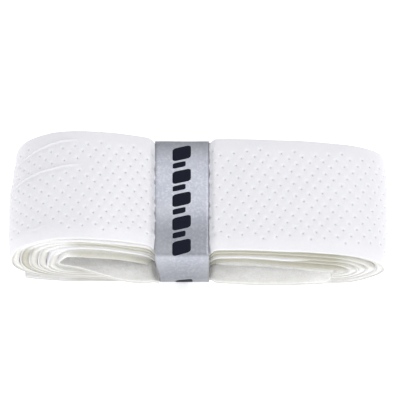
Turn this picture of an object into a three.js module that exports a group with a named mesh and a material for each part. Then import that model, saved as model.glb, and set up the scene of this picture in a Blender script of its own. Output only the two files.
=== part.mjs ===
// A replacement grip tape for rackets, wound flat into a roll and held by a belly band.
// The tape is four layers: a polyurethane skin outside, a felt backing, an adhesive strip down the middle
// of the backing, and the release film that covers the adhesive. A short coil of finishing tape with its
// paper liner sits in the open core at the roll's left end.
// Millimetres, +Z up. X runs along the roll, Y across the tape, the roll's front is -Y.
import * as THREE from "three";

// ---- Driving dimensions ----
const tapeWidth = 30;
const wraps = 6;
const wrapPitch = 1.59; // height of one wound layer
const skinThick = 0.55;
const backingThick = 0.82;
const adhesiveThick = 0.09;
const filmThick = 0.05;
const layerGap = 0.02; // free space between two layers that touch
const backingWidth = 29.4; // at the skin
const skivedWidth = 22; // at the backing's inner face, after its edges are pared down
const adhesiveWidth = 10;
const filmWidth = 12;

const rollBase = 0.25; // the wound tape clears the table by this much, because the band passes below it
const coreSlit = 0.5; // free height above the tape's inner end, all along the roll
const coreSwell = 7; // how much the core opens at the left end
const leftCentre = -32; // where the left turns begin
const rightCentre = 33.8; // where the right turns begin
const leftInnerReach = 3.8; // how far the innermost left turn bulges past leftCentre
const rightInnerReach = 2.1;
const turnSpacing = 2.3; // distance in X from one turn to the next
const outerEnd = -44.3; // the tape's free outer end, below the roll
const outerEndLift = 2.4; // the outer end springs up by this much
const innerEnd = 33.4; // the tape's inner end, above the lowest six layers
const innerEndShift = -4.4; // the inner end stands out of the roll's front by this much
const innerEndReturn = 0.3; // and its last stretch comes back by this share of that
const driftStart = -35; // the inner end starts to leave the roll's front here
const driftFull = -12.9; // and is all the way out here
const returnLength = 12; // length of the stretch that comes back

const bandLeft = -10.9;
const bandRight = 2.8;
const bandThick = 0.18;
const bandFoldRadius = 0.22;
const bandFoldSteps = 3;
const bandClearance = 0.07; // free space above and below the roll
const bandFrontClearance = 0.14; // free space round the inner end, where it stands out of the front
const bandSideClearance = 0.28; // free space at the tape's edges
const bandLap = 6; // overlap of the band's glued ends, on the back wall
const bandLapStart = 9; // height where the band's inner end begins
const bandLapFoot = 3; // height where the band's outer end starts to step out over its inner end
const bandLapRamp = 1; // the outer end has cleared the inner end by this far below it
const glueThick = 0.04;
const glueEndInset = 0.5; // from the lap's ends
const glueSideInset = 1; // from the band's edges

const strapWidth = 19; // finishing tape
const strapThick = 0.15;
const linerThick = 0.06;
const strapPitch = 0.3;
const strapWraps = 3;
const strapCore = 1.1;
const strapLeft = -30;
const strapRight = -21.5;
const strapOuterLead = 1; // length of the coil's outermost layer before its first turn
const strapInnerStop = 2; // the coil's inner end stops this short of its last turn

const stackLayers = 2 * wraps + 1;
const stackHeight = stackLayers * wrapPitch + coreSlit;
const rollTop = rollBase + stackHeight;
const innerEndLayer = wraps;
const waistLeft = bandLeft - 0.2; // the core opens from here to the left
const turnSteps = 12;
const leadSteps = 3;
const leftSteps = 4;
const rightSteps = 6;
const strapTurnSteps = 6;

// ---- Paths ----

// Extra height between the inner end and the layers above it: none from the band to the right,
// rising to the full swelling at the left turns.
function coreOpening(x) {
  const along = THREE.MathUtils.clamp((waistLeft - x) / (waistLeft - leftCentre), 0, 1);
  return coreSlit + coreSwell * Math.sin((along * Math.PI) / 2);
}

// The tape's outer end curls up past the left turns.
function outerEndRise(x) {
  const along = THREE.MathUtils.clamp((leftCentre - x) / (leftCentre - outerEnd), 0, 1);
  return outerEndLift * along * along;
}

// The tape's inner end drifts sideways as it leaves the innermost left turn, and a little way back
// again over its last stretch.
function innerEndDrift(x) {
  const out = THREE.MathUtils.smoothstep(x, driftStart, driftFull);
  const back = THREE.MathUtils.smoothstep(x, innerEnd - returnLength, innerEnd + 1);
  return innerEndShift * (out - innerEndReturn * back);
}

// Places from one end of a stretch towards the other, in even steps, without the last.
function evenly(from, to, steps) {
  return Array.from({ length: steps }, (_, step) => from + ((to - from) * step) / steps);
}

// Stations of a strip wound flat, from its outer end at the bottom left to its inner end in the core.
// Each station is a point (u, v) with the outward normal (nu, nv) and a sideways shift.
function woundStations(roll) {
  const stations = [];
  const top = 2 * roll.wraps;
  const level = (layer, x) => {
    const opening = layer > roll.wraps ? roll.core(x) : 0;
    const rise = layer === 0 ? roll.rise(x) : 0;
    return roll.base + roll.pitch * (layer + 0.5) + opening + rise;
  };
  const run = (layer, places, side) => {
    for (const x of places) {
      const shift = layer === roll.wraps ? roll.drift(x) : 0;
      stations.push({ u: x, v: level(layer, x), nu: 0, nv: side, shift });
    }
  };
  const turn = (fromLayer, toLayer, x, reach, side) => {
    const middle = (level(fromLayer, x) + level(toLayer, x)) / 2;
    const height = (level(toLayer, x) - level(fromLayer, x)) / 2;
    for (let step = 1; step < roll.turnSteps; step += 1) {
      const angle = (Math.PI * step) / roll.turnSteps;
      const across = Math.sin(angle);
      const up = -Math.cos(angle);
      const normal = new THREE.Vector2(side * Math.abs(height) * across, Math.sign(height) * reach * up);
      normal.normalize();
      const v = middle + height * up;
      stations.push({ u: x + side * reach * across, v, nu: normal.x, nv: normal.y, shift: 0 });
    }
  };
  const [left, right] = [roll.places[0], roll.places[roll.places.length - 1]];
  run(0, roll.lead, -1);
  for (let wrap = 0; wrap < roll.wraps; wrap += 1) {
    const fromOutside = roll.wraps - 1 - wrap;
    run(wrap, roll.places, -1);
    turn(wrap, top - wrap, right, roll.rightReach + roll.reachStep * fromOutside, 1);
    run(top - wrap, [...roll.places].reverse(), 1);
    turn(top - wrap, wrap + 1, left, roll.leftReach + roll.reachStep * fromOutside, -1);
  }
  run(roll.wraps, [...roll.places.slice(0, -1), roll.end], -1);
  return stations;
}

// A closed outline with rounded corners, as stations with outward normals.
function roundedOutline(corners, radius, steps) {
  const stations = [];
  for (let i = 0; i < corners.length; i += 1) {
    const here = new THREE.Vector2(...corners[i]);
    const before = new THREE.Vector2(...corners[(i + corners.length - 1) % corners.length]);
    const after = new THREE.Vector2(...corners[(i + 1) % corners.length]);
    const arriving = here.clone().sub(before).normalize();
    const leaving = after.clone().sub(here).normalize();
    const bend = Math.acos(THREE.MathUtils.clamp(arriving.dot(leaving), -1, 1));
    const start = here.clone().addScaledVector(arriving, -radius * Math.tan(bend / 2));
    const startNormal = new THREE.Vector2(arriving.y, -arriving.x);
    const centre = start.clone().addScaledVector(startNormal, -radius);
    for (let step = 0; step <= steps; step += 1) {
      const normal = startNormal.clone().rotateAround(new THREE.Vector2(), (bend * step) / steps);
      const place = centre.clone().addScaledVector(normal, radius);
      stations.push({ u: place.x, v: place.y, nu: normal.x, nv: normal.y, shift: 0 });
    }
  }
  return stations;
}

// ---- Solids ----

// Sweeps a convex section along stations and closes both ends. A section point is (across, out):
// across runs along the strip's width, and out along the station's normal.
function sweptStrip(stations, section, place) {
  const count = section.length;
  const positions = [];
  for (const station of stations) {
    for (const [across, out] of section) {
      const u = station.u + station.nu * out;
      const v = station.v + station.nv * out;
      positions.push(...place(u, v, across + station.shift));
    }
  }
  const triangles = [];
  for (let s = 0; s + 1 < stations.length; s += 1) {
    for (let i = 0; i < count; i += 1) {
      const next = (i + 1) % count;
      const [a, b] = [s * count + i, s * count + next];
      const [c, d] = [a + count, b + count];
      triangles.push([a, c, b], [b, c, d]);
    }
  }
  const last = (stations.length - 1) * count;
  for (let i = 1; i + 1 < count; i += 1) {
    triangles.push([0, i, i + 1], [last, last + i + 1, last + i]);
  }
  const geometry = new THREE.BufferGeometry();
  geometry.setAttribute("position", new THREE.Float32BufferAttribute(positions, 3));
  const facesOut = enclosedVolume(positions, triangles) > 0;
  geometry.setIndex(triangles.flatMap(([a, b, c]) => (facesOut ? [a, b, c] : [a, c, b])));
  geometry.computeVertexNormals();
  return geometry;
}

// The volume inside the triangles: positive when they face out.
function enclosedVolume(positions, triangles) {
  const corner = (index) => new THREE.Vector3().fromArray(positions, index * 3);
  return triangles.reduce((sum, [a, b, c]) => sum + corner(a).dot(corner(b).cross(corner(c))) / 6, 0);
}

// A flat layer: `outer` and `inner` are heights along the normal, and the widths belong to those faces.
function layerSection(outer, inner, outerWidth, innerWidth = outerWidth) {
  return [
    [-outerWidth / 2, outer],
    [outerWidth / 2, outer],
    [innerWidth / 2, inner],
    [-innerWidth / 2, inner],
  ];
}

const alongRoll = (u, v, across) => [u, across, v];
const aroundRoll = (u, v, across) => [across, u, v];

const grip = new THREE.Group();

function addPart(name, geometry, colour, roughness, metalness = 0) {
  const material = new THREE.MeshStandardMaterial({ color: colour, roughness, metalness });
  const mesh = new THREE.Mesh(geometry, material);
  mesh.name = name;
  grip.add(mesh);
}

// ---- The wound tape ----

function addTape() {
  const leftStretch = evenly(leftCentre, waistLeft, leftSteps);
  const rightStretch = evenly(bandRight, rightCentre, rightSteps);
  const path = woundStations({
    wraps,
    pitch: wrapPitch,
    base: rollBase,
    core: coreOpening,
    rise: outerEndRise,
    drift: innerEndDrift,
    places: [...leftStretch, waistLeft, ...rightStretch, rightCentre],
    lead: evenly(outerEnd, leftCentre, leadSteps),
    end: innerEnd,
    leftReach: leftInnerReach,
    rightReach: rightInnerReach,
    reachStep: turnSpacing,
    turnSteps,
  });
  const skinOuter = wrapPitch / 2;
  const skinInner = skinOuter - skinThick;
  const backingOuter = skinInner - layerGap;
  const backingInner = backingOuter - backingThick;
  const adhesiveOuter = backingInner - layerGap;
  const adhesiveInner = adhesiveOuter - adhesiveThick;
  const filmOuter = adhesiveInner - layerGap / 2;
  const skin = layerSection(skinOuter, skinInner, tapeWidth);
  const backing = layerSection(backingOuter, backingInner, backingWidth, skivedWidth);
  const adhesive = layerSection(adhesiveOuter, adhesiveInner, adhesiveWidth);
  const film = layerSection(filmOuter, filmOuter - filmThick, filmWidth);
  addPart("grip_skin", sweptStrip(path, skin, alongRoll), 0xeae9ef, 0.5);
  addPart("grip_backing", sweptStrip(path, backing, alongRoll), 0xdad9d8, 0.95);
  addPart("adhesive_strip", sweptStrip(path, adhesive, alongRoll), 0xd9cfb0, 0.6);
  addPart("release_film", sweptStrip(path, film, alongRoll), 0xf2f3f0, 0.3);
}

// ---- The belly band ----

function addBellyBand() {
  const side = tapeWidth / 2 + bandSideClearance;
  const front = tapeWidth / 2 - innerEndShift + bandFrontClearance;
  const low = rollBase - bandClearance;
  const high = rollTop + bandClearance;
  const lipLow = rollBase + wrapPitch * innerEndLayer - bandFrontClearance;
  const lipHigh = lipLow + wrapPitch + 2 * bandFrontClearance;
  const lapEnd = bandLapStart + bandLap;
  const corners = [
    [-side, low],
    [side, low],
    [side, high],
    [-side, high],
    [-front, lipHigh],
    [-front, lipLow],
  ];
  const folds = roundedOutline(corners, bandFoldRadius, bandFoldSteps);
  const backWall = { u: side, nu: 1, nv: 0, shift: 0 };
  const lapLift = bandThick + glueThick + layerGap * 2;
  const firstTopFold = 2 * (bandFoldSteps + 1);
  const fromBack = [...folds.slice(firstTopFold), ...folds.slice(0, firstTopFold)];
  const path = [
    { ...backWall, v: bandLapStart },
    ...fromBack,
    { ...backWall, v: bandLapFoot },
    { ...backWall, u: side + lapLift, v: bandLapStart - bandLapRamp },
    { ...backWall, u: side + lapLift, v: lapEnd },
  ];
  const strip = layerSection(bandThick, 0, bandRight - bandLeft);
  const middle = (bandLeft + bandRight) / 2;
  const placed = (u, v, across) => aroundRoll(u, v, across + middle);
  addPart("belly_band", sweptStrip(path, strip, placed), 0xc4c8d4, 0.35, 0.8);

  const glueWidth = bandRight - bandLeft - 2 * glueSideInset;
  const gluePath = [
    { ...backWall, v: bandLapStart + glueEndInset },
    { ...backWall, v: lapEnd - glueEndInset },
  ];
  const glueInner = bandThick + layerGap;
  const glue = layerSection(glueInner + glueThick, glueInner, glueWidth);
  addPart("band_glue", sweptStrip(gluePath, glue, placed), 0xd8d2bc, 0.6);
}

// ---- The finishing tape in the core ----

function addFinishingTape() {
  const path = woundStations({
    wraps: strapWraps,
    pitch: strapPitch,
    base: rollBase + wrapPitch * (innerEndLayer + 1) + layerGap,
    core: () => strapCore,
    rise: () => 0,
    drift: () => 0,
    places: [strapLeft, strapRight],
    lead: [strapLeft - strapOuterLead],
    end: strapRight - strapInnerStop,
    leftReach: (strapPitch + strapCore) / 2,
    rightReach: strapPitch + strapCore / 2,
    reachStep: strapPitch,
    turnSteps: strapTurnSteps,
  });
  const strapOuter = strapPitch / 2;
  const linerOuter = strapOuter - strapThick - layerGap;
  const strap = layerSection(strapOuter, strapOuter - strapThick, strapWidth);
  const liner = layerSection(linerOuter, linerOuter - linerThick, strapWidth);
  addPart("finishing_tape", sweptStrip(path, strap, alongRoll), 0x2b2d33, 0.4);
  addPart("finishing_tape_liner", sweptStrip(path, liner, alongRoll), 0xe9e2cf, 0.8);
}

addTape();
addBellyBand();
addFinishingTape();

export default grip;
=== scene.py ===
import math

import bpy
import numpy as np
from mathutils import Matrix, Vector, geometry


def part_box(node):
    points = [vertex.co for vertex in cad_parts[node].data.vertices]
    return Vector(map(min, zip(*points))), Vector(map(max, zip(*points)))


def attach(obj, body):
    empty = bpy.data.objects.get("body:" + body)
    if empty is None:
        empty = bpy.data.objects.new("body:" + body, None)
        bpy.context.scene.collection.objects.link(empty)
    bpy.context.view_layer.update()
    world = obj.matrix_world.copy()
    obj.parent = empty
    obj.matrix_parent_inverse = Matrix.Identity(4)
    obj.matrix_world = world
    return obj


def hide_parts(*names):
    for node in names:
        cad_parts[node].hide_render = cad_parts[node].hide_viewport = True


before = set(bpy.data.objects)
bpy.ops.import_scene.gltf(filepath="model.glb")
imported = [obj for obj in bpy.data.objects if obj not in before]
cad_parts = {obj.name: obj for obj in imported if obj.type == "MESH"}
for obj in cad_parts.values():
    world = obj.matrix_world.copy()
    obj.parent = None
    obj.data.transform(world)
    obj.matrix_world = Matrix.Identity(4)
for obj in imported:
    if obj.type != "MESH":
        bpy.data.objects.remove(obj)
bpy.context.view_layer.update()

MM = 0.001
scene = bpy.context.scene


def box_mm(node):
    """A CAD node's lowest and highest corners, in millimetres."""
    low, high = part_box(node)
    return np.array(low) / MM, np.array(high) / MM


# ---- Driving dimensions ----

WRAPS = 6
WRAP_PITCH = 1.59
SKIN_THICK = 0.55
BACKING_THICK = 0.82
ADHESIVE_THICK = 0.09
FILM_THICK = 0.05
LAYER_GAP = 0.02
HALF_PITCH = WRAP_PITCH / 2
TURN_SPACING = 2.3
LEFT_INNER_REACH = 3.8
RIGHT_INNER_REACH = 2.1
CORE_SLIT = 0.5
BAND_THICK = 0.15
ADHESIVE_WIDTH = 10
FILM_WIDTH = 12
SKIVE_START = 11  # the backing is pared down from here to its edge
SKIVE_DEPTH = 0.22
TURN_SWELL = 0.84
GAP_ANGLE = 62  # degrees from the top of a turn
BACKING_EDGE = 14.85

skin_low, skin_high = box_mm("grip_skin")
band_low, band_high = box_mm("belly_band")
HALF_WIDTH = skin_high[1]
INNER_END_SHIFT = skin_low[1] + HALF_WIDTH
OUTER_TURNS = TURN_SPACING * (WRAPS - 1)
LEFT_CENTRE = skin_low[0] + LEFT_INNER_REACH + OUTER_TURNS + HALF_PITCH
RIGHT_CENTRE = skin_high[0] - RIGHT_INNER_REACH - OUTER_TURNS - HALF_PITCH
ROLL_BASE = skin_low[2]
ROLL_TOP = ROLL_BASE + (2 * WRAPS + 1) * WRAP_PITCH + CORE_SLIT
CORE_SWELL = skin_high[2] - ROLL_TOP
INNER_END_RETURN = 0.3  # the drawn-out inner end comes back by this share at its end
OUTER_END = -44.3
OUTER_END_LIFT = 2.4
INNER_END = RIGHT_CENTRE - 0.4
BAND_LEFT = band_low[0]
BAND_RIGHT = band_high[0]
WAIST_LEFT = BAND_LEFT - 0.2  # the core opens from here to the left

HOLE_PITCH = 2.41
HOLE_ANGLE = math.radians(35.4)
HOLE_COS, HOLE_SIN = math.cos(HOLE_ANGLE), math.sin(HOLE_ANGLE)
PERFORATED_HALF_WIDTH = 12.2

GRAIN_SEED = 7


# ---- Small tools ----


def share_of(low, high, value):
    """0 at low, 1 at high, a straight line between them and level beyond them."""
    return np.clip((np.asarray(value, float) - low) / (high - low), 0, 1)


def smooth(low, high, value):
    """0 up to low, 1 from high on, and an even S between them. It falls if high is below low."""
    part = share_of(low, high, value)
    return part * part * (3 - 2 * part)


def raised(value, start, full, falling, end):
    """0 outside start and end, 1 between full and falling, and an even S on both sides."""
    return smooth(start, full, value) * smooth(end, falling, value)


def wave(place, length, seed):
    """A smooth wander between about -1 and 1, which repeats only after many lengths."""
    turns = np.asarray(place, float) * (2 * math.pi / length)
    return (
        np.sin(turns + seed * 1.7)
        + 0.6 * np.sin(turns * 1.73 + seed * 3.1)
        + 0.4 * np.sin(turns * 2.91 + seed * 5.3)
    ) / 2


def quads(first, second):
    """The faces between two rows of points, given by the points' numbers."""
    return list(zip(first[:-1], first[1:], second[1:], second[:-1]))


def grid_faces(rows):
    """The faces between all the rows of a grid of points' numbers."""
    return [face for pair in zip(rows[:-1], rows[1:]) for face in quads(*pair)]


def plate_faces(tall, wide):
    """The faces of a closed plate: a grid of points for its top, then the same for its bottom."""
    top, bottom = np.arange(2 * tall * wide).reshape(2, tall, wide)
    edge = np.concatenate([top[0], top[1:, -1], top[-1, -2::-1], top[-2::-1, 0]])
    return grid_faces(top[::-1]) + grid_faces(bottom.T[::-1]) + quads(edge, edge + tall * wide)


def distances_along(rows):
    """How far along a line each of its places is. The places are the rows' first two columns."""
    return np.append(0.0, np.cumsum(np.hypot(*np.diff(rows[:, :2], axis=0).T)))


def add_object(name, data):
    thing = bpy.data.objects.new(name, data)
    scene.collection.objects.link(thing)
    return thing


def add_piece(name, points, faces, material, body, attributes=None):
    """A mesh object from points in millimetres, which rides on a CAD body."""
    points = np.asarray(points, float)
    mesh = bpy.data.meshes.new(name)
    mesh.from_pydata((points * MM).tolist(), [], faces)
    mesh.materials.append(material)
    for key, values in (attributes or {}).items():
        layer = mesh.attributes.new(key, "FLOAT", "POINT")
        layer.data.foreach_set("value", np.asarray(values, np.float32))
    mesh.polygons.foreach_set("use_smooth", [True] * len(mesh.polygons))
    mesh.update()
    piece = add_object(name, mesh)
    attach(piece, body)
    return piece


# ---- The path that the tape is wound on ----


def core_opening(x):
    """Extra height above the tape's inner end: a slit at the right, and a wide core at the left."""
    return CORE_SLIT + CORE_SWELL * np.sin(share_of(WAIST_LEFT, LEFT_CENTRE, x) * math.pi / 2)


def outer_end_rise(x):
    """The tape's outer end curls up past the left turns."""
    return OUTER_END_LIFT * share_of(LEFT_CENTRE, OUTER_END, x) ** 2


def inner_end_drift(x):
    """The tape's inner end drifts out of the roll's front, and a little way back again."""
    out = smooth(LEFT_CENTRE - 3, BAND_LEFT - 2, x)
    back = smooth(INNER_END - 12, INNER_END + 1, x)
    return INNER_END_SHIFT * (out - INNER_END_RETURN * back)


class WoundPath:
    """A strip wound flat: stations with a place (x, z), an outward normal, a sideways shift, the wrap
    that they belong to, and an angle, from 0 degrees on the upper runs to 180 on the lower ones."""

    def __init__(
        self, wraps, pitch, base, ends, reaches, strip_ends, step, spacing, turn_steps, core,
        rise=lambda x: 0.0, drift=lambda x: 0.0,
    ):
        self.wraps, self.pitch, self.base, self.turn_steps = wraps, pitch, base, turn_steps
        self.core, self.rise, self.drift = core, rise, drift
        self.rows = []
        left, right = ends
        outer_end, inner_end = strip_ends
        self._run(0, outer_end, left, step)
        for wrap in range(wraps):
            room = spacing * (wraps - 1 - wrap)
            self._run(wrap, left, right, step)
            self._turn(wrap, right, reaches[1] + room)
            self._run(2 * wraps - wrap, right, left, step)
            self._turn(2 * wraps - wrap, left, reaches[0] + room)
        self._run(wraps, left, inner_end, step / 2)
        rows = np.array(self.rows)
        self.rows = rows[np.append(True, np.diff(distances_along(rows)) > 1e-6)]
        self.s = distances_along(self.rows)
        self.length = self.s[-1]

    def _level(self, layer, x):
        opening = self.core(x) if layer > self.wraps else 0.0
        rise = self.rise(x) if layer == 0 else 0.0
        return self.base + self.pitch * (layer + 0.5) + opening + rise

    def _run(self, layer, start, end, step):
        """A straight stretch on a layer: those above the tape's inner end face up."""
        side, degrees = (1, 0) if layer > self.wraps else (-1, 180)
        wrap = min(layer, 2 * self.wraps - layer)
        for x in np.linspace(start, end, max(2, round(abs(end - start) / step) + 1)):
            shift = self.drift(x) if layer == self.wraps else 0.0
            self.rows.append([x, self._level(layer, x), 0, side, shift, wrap, degrees])

    def _turn(self, layer, x, reach):
        """A turn from a layer to the one that follows it: up at the right, or down at the left."""
        side = 1 if layer < self.wraps else -1
        wrap = min(layer, 2 * self.wraps - layer)
        following = 2 * self.wraps - layer + (side < 0)
        low, high = self._level(layer, x), self._level(following, x)
        middle, height = (low + high) / 2, (high - low) / 2
        for step in range(1, self.turn_steps):
            angle = math.pi * step / self.turn_steps
            across, up = math.sin(angle), -math.cos(angle)
            normal = np.array([side * abs(height) * across, math.copysign(reach, height) * up])
            normal /= np.linalg.norm(normal)
            degrees = math.degrees(angle) if side < 0 else 180 - math.degrees(angle)
            part = wrap + (step / self.turn_steps if side < 0 else 0)
            place = [x + side * reach * across, middle + height * up]
            self.rows.append([*place, *normal, 0, part, degrees])

    def at(self, s):
        """The stations at these distances along the strip, as columns."""
        columns = [np.interp(s, self.s, column) for column in self.rows.T]
        size = np.hypot(columns[2], columns[3])
        columns[2], columns[3] = columns[2] / size, columns[3] / size
        return columns


# ---- How the soft roll differs from a neat winding ----

# The band squeezes the roll to a waist, the foam swells up beside it, and the roll thins out to the
# right, where the tape's inner end stops. Each pair is a place in X and the height there, as a share of
# the neat winding's height.
WAIST = 0.972
WAIST_MARGIN = 0.3  # the waist reaches this far past the band
PLUMPNESS = (
    (LEFT_CENTRE - 17, 1.0), (LEFT_CENTRE, 1.012), (LEFT_CENTRE + 7, 1.035), (BAND_LEFT - 6, 1.08),
    (BAND_LEFT - WAIST_MARGIN - 0.5, 1.12), (BAND_LEFT - WAIST_MARGIN, WAIST),
    (BAND_RIGHT + WAIST_MARGIN, WAIST), (BAND_RIGHT + WAIST_MARGIN + 0.7, 1.1), (BAND_RIGHT + 9, 1.115),
    (RIGHT_CENTRE - 8, 1.05), (RIGHT_CENTRE + 2, 0.955), (RIGHT_CENTRE + 8, 0.915),
    (RIGHT_CENTRE + 16, 0.9),
)
LOW_PLUMP = 0.9  # the lower wraps lose this share of their swelling
BAND_LEAN = 1.2  # how far the band's left edge leans in at its foot
TABLE_STEP = 0.25
SOFT_STEPS = 2  # the table's corners are rounded off over this many steps


def softened(pairs):
    """A table of places and values along X, with its corners rounded off."""
    places = np.arange(-60, 60, TABLE_STEP)
    kernel = np.hanning(2 * SOFT_STEPS + 3)
    padded = np.pad(np.interp(places, *zip(*pairs)), SOFT_STEPS + 1, mode="edge")
    return places, np.convolve(padded, kernel / kernel.sum(), mode="valid")


PLUMP_TABLE = softened(PLUMPNESS)
LIP_START = 11.2
FRONT_DROP = 0.95
BACK_DROP = 0.4
LOW_CURL = 0.22
FRONT_CROWN = 0.9
BACK_CROWN = 0.4
FLAP_DROP = 0.1
FLAP_SAG = (0.7, 0.8)  # at the left and the right of the band
END_SAG = 0.9
END_SLANT = 1.5  # the inner end is cut at a slant where it stands out of the roll
END_ROUND = 3.5  # and its corner is rounded off by this much
CORNER_START = 11.6  # both grow from here to the front edge
FLAP_RISE = 0.3  # the drawn-out edge rises by this much beside the band's left side
FLAP_RISE_START = -19
FLAP_BACK = 1.1  # the band presses the drawn-out edge back by this much
FOOT_BACK = 0.9  # and the edges below it by this much


def lip(y):
    """0 over the middle of the tape, rising to 1 at its edges."""
    return share_of(LIP_START, HALF_WIDTH, np.abs(y)) ** 1.7


# How the wraps' front edges differ, for the outermost wrap first and the inner end last, at the left of
# the band and at its right: how far an edge stands back on its top run, how much further the skin's edge
# does, how far the edge hangs below its neighbours, and how far it stands back on the bottom run.
TOP_BACK = ((1.05, 0.95, 1.05, 1.0, 0.95, 0.0, 0.0), (0.0, 0.0, 0.05, 0.05, -0.05, 0.15, 0.0))
SKIN_BACK = ((0.0, 0.1, 0.9, 1.0, 0.0, 1.3, 0.0), (0.0, 1.0, 0.9, 0.0, 1.2, 0.9, 0.0))
TOP_HANG = ((0.0, 0.0, 0.1, 0.1, 0.3, 1.7, 0.1), (0.0, 0.0, 0.1, 0.1, 0.5, 1.0, 0.1))
BOTTOM_BACK = ((0.0, 0.1, -0.1, -0.4, -0.8, -1.2, 0.2), (0.0, 0.1, 0.1, 0.0, 0.0, 0.0, 0.0))
FAN_OUT = 1.8  # at the right end, the inner wraps' top edges stand this far in front of the outermost's
LOW_FAN_OUT = 0.6  # and the lower edges stand this far in front of their place


def by_wrap(sides, wrap, x):
    """The value for a wrap, at the left or the right of the band, with a smooth change under it."""
    left, right = [np.interp(wrap, np.arange(len(values)), values) for values in sides]
    return left + (right - left) * smooth(BAND_LEFT, BAND_RIGHT, x)


def under_band(x, left, right):
    """1 where the band lies, fading to 0 over these distances at its left and right."""
    return raised(x, BAND_LEFT - left, BAND_LEFT, BAND_RIGHT, BAND_RIGHT + right)


def near_right_end(x):
    """0 beside the band, rising to 1 where the right turns begin."""
    return smooth(RIGHT_CENTRE - 13, RIGHT_CENTRE, x)


def band_crown(y):
    """How far the squeezed roll's top lies below its middle line, under the band."""
    share = np.clip(y / HALF_WIDTH, -1.05, 1.05)
    return share**2 * np.where(y < 0, FRONT_CROWN, BACK_CROWN)


LEAN_FROM, LEAN_FULL = 10, 14  # the band's lean grows between these, towards the front
LEAN_TOP, LEAN_FOOT = 12, 9  # and between these, down the front
LOW_WRAPS = (20, 4)  # the swelling beside the band dies away from one height to the other
CROWN_FADE = 2.5
FAR_CORNER = 1.4  # the left end's far corner is rounded in by this much
FAR_TIP = 0.6  # and its very tip by this much more
NEAR_CORNER = 0.15
RIGHT_CORNERS = 0.55
RIGHT_STRETCH = 0.4  # the right end's middle stands out by this much


def soft_roll(x, z, y, upper):
    """Moves points of the neat winding to where the soft tape lies."""
    # The band's left edge leans in at its foot, and the tape there is free to swell for longer.
    lean = smooth(LEAN_FROM, LEAN_FULL, -y) * smooth(LEAN_TOP, LEAN_FOOT, z) * (x < 0)
    plump = np.interp(x - BAND_LEAN * lean, *PLUMP_TABLE)
    # The lower wraps swell less beside the band than the upper ones.
    plump = 1 + (plump - 1) * (1 - LOW_PLUMP * smooth(*LOW_WRAPS, z) * (plump > 1))
    z = z * plump - upper * band_crown(y) * under_band(x, CROWN_FADE, CROWN_FADE)
    # The ends are rounded in plan, most of all at the left end's far corner.
    left_end = smooth(LEFT_CENTRE + 2, skin_low[0] + 4, x)
    right_end = smooth(RIGHT_CENTRE - 2, skin_high[0] - 2, x)
    far_corner = FAR_CORNER * smooth(-1, 12.5, y) + FAR_TIP * share_of(12, HALF_WIDTH, y) ** 4
    near_corner = NEAR_CORNER * smooth(9, HALF_WIDTH, -y)
    corners = RIGHT_CORNERS * smooth(4, HALF_WIDTH, np.abs(y))
    x = x + left_end * (far_corner + near_corner) - right_end * (corners - RIGHT_STRETCH)
    return x, z


EDGE_WANDER = 0.2  # how far the inner wraps' edges wander in and out
STRIP_WANDER = 0.1  # how far the whole strip wanders across
LIP_WANDER = 0.1  # how far the drooping edges wander up and down
LUMPS = 0.05  # how far the strip wanders out and in


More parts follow.
